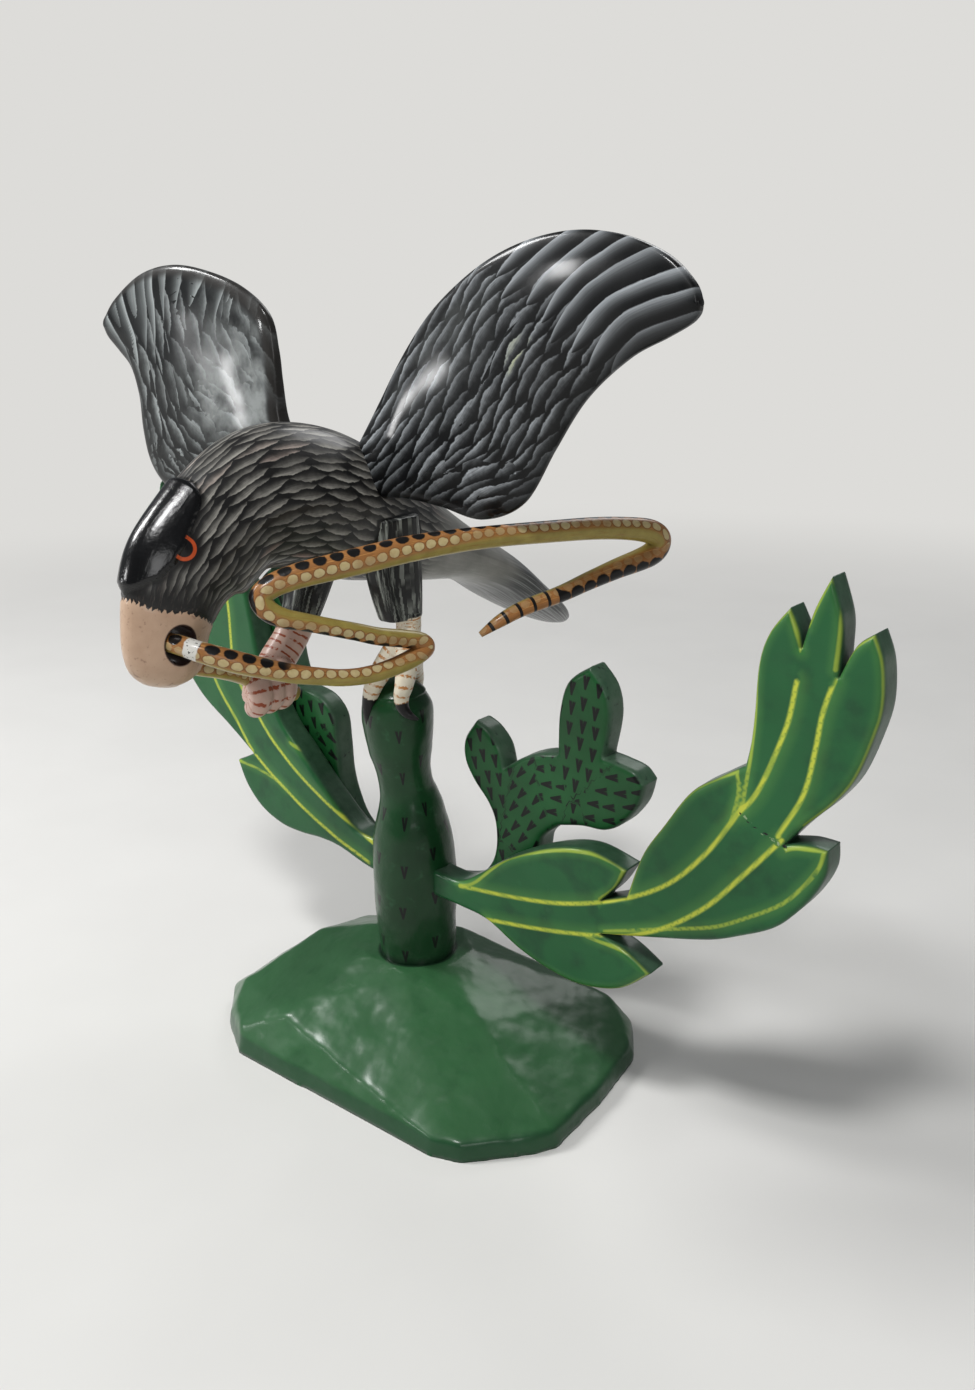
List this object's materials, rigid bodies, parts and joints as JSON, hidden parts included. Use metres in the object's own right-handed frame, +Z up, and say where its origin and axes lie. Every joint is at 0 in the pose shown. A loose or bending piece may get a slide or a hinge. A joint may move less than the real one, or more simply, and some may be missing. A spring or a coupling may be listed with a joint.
{
  "type": "folk art eagle figure",
  "caption": "Carved and painted wooden eagle with a long snake in its beak and claw, on a cactus trunk with leaf sprays over a faceted rock-like mound.",
  "frame": {"origin": "on the flat underside of the mound, below the cactus trunk", "axes": "+Z up; -Y is the way the eagle faces; +X is the eagle's left"},
  "size_m": [0.4475, 0.2956, 0.405],
  "materials": {
    "mound_paint": "gloss green paint over carved wood, brush-waved",
    "trunk_paint": "gloss dark green paint over carved wood, small black spine marks",
    "leaf_paint": "gloss green paint over carved wood, yellow-green leaf edge lines",
    "nopal_paint": "satin green paint over carved wood, black spine marks",
    "body_paint": "black gloss paint over carved wood with grey feather strokes, pinkish beak",
    "wing_paint": "black gloss paint over carved wood with grey feather strokes",
    "leg_paint": "cream and pinkish paint with brown stripes, dark painted thighs, black talons",
    "snake_paint": "varnished orange-tan paint with black and cream spots and an olive belly"
  },
  "bodies": {
    "root": {"base_mound": "mound_paint", "cactus_trunk": "trunk_paint", "leaf_spray_right": "leaf_paint", "leaf_spray_left": "leaf_paint", "nopal_branch_right": "nopal_paint", "nopal_branch_left": "nopal_paint", "eagle_body": "body_paint", "wing_near": "wing_paint", "wing_far": "wing_paint", "leg_near": "leg_paint", "leg_far": "leg_paint", "snake": "snake_paint"}
  },
  "joints": []
}
